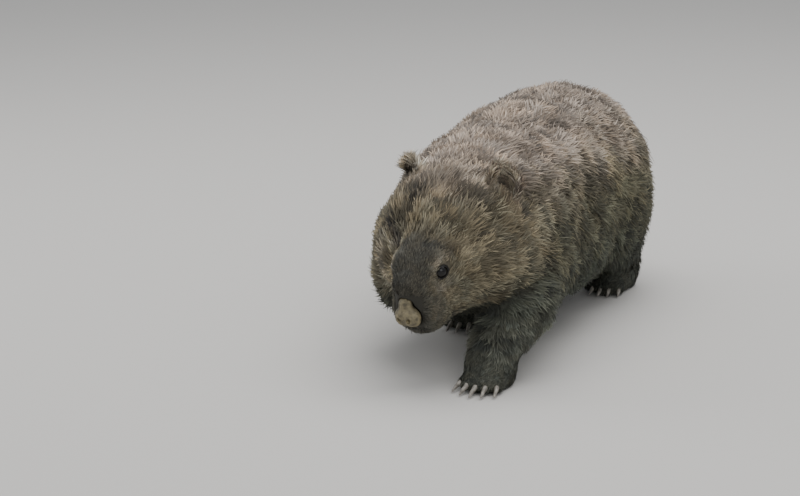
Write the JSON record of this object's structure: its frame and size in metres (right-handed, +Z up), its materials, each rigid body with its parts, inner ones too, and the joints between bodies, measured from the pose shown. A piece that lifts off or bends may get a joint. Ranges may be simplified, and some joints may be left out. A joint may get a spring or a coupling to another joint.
{
  "type": "wombat",
  "caption": "Life-size still model of a common wombat in mid-walk, head low and turned slightly, on four flat-soled feet with long claws.",
  "frame": {"origin": "middle of the model's footprint box, on the floor it stands on", "axes": "+Z up, the animal faces -Y, and its left side is +X"},
  "size_m": [0.3174, 0.8152, 0.3471],
  "materials": {
    "coat": "coarse grey-brown fur",
    "face_fur": "short dark grey-brown fur",
    "paw_fur": "short blackish-brown fur",
    "nose_skin": "granular bare skin, dull",
    "eye": "wet gloss",
    "claw": "worn horn"
  },
  "bodies": {
    "root": {"torso": "coat", "neck": "coat", "head": "face_fur", "nose": "nose_skin", "eye_left": "eye", "eye_right": "eye", "ear_left": "coat", "ear_right": "coat", "foreleg_left": "coat", "forefoot_left": "paw_fur", "hindleg_left": "coat", "hindfoot_left": "paw_fur", "foreleg_right": "coat", "forefoot_right": "paw_fur", "hindleg_right": "coat", "hindfoot_right": "paw_fur", "tail": "coat", "foreclaw_left_1": "claw", "foreclaw_left_2": "claw", "foreclaw_left_3": "claw", "foreclaw_left_4": "claw", "foreclaw_left_5": "claw", "hindclaw_left_1": "claw", "hindclaw_left_2": "claw", "hindclaw_left_3": "claw", "hindclaw_left_4": "claw", "foreclaw_right_1": "claw", "foreclaw_right_2": "claw", "foreclaw_right_3": "claw", "foreclaw_right_4": "claw", "foreclaw_right_5": "claw", "hindclaw_right_1": "claw", "hindclaw_right_2": "claw", "hindclaw_right_3": "claw", "hindclaw_right_4": "claw"}
  },
  "joints": []
}
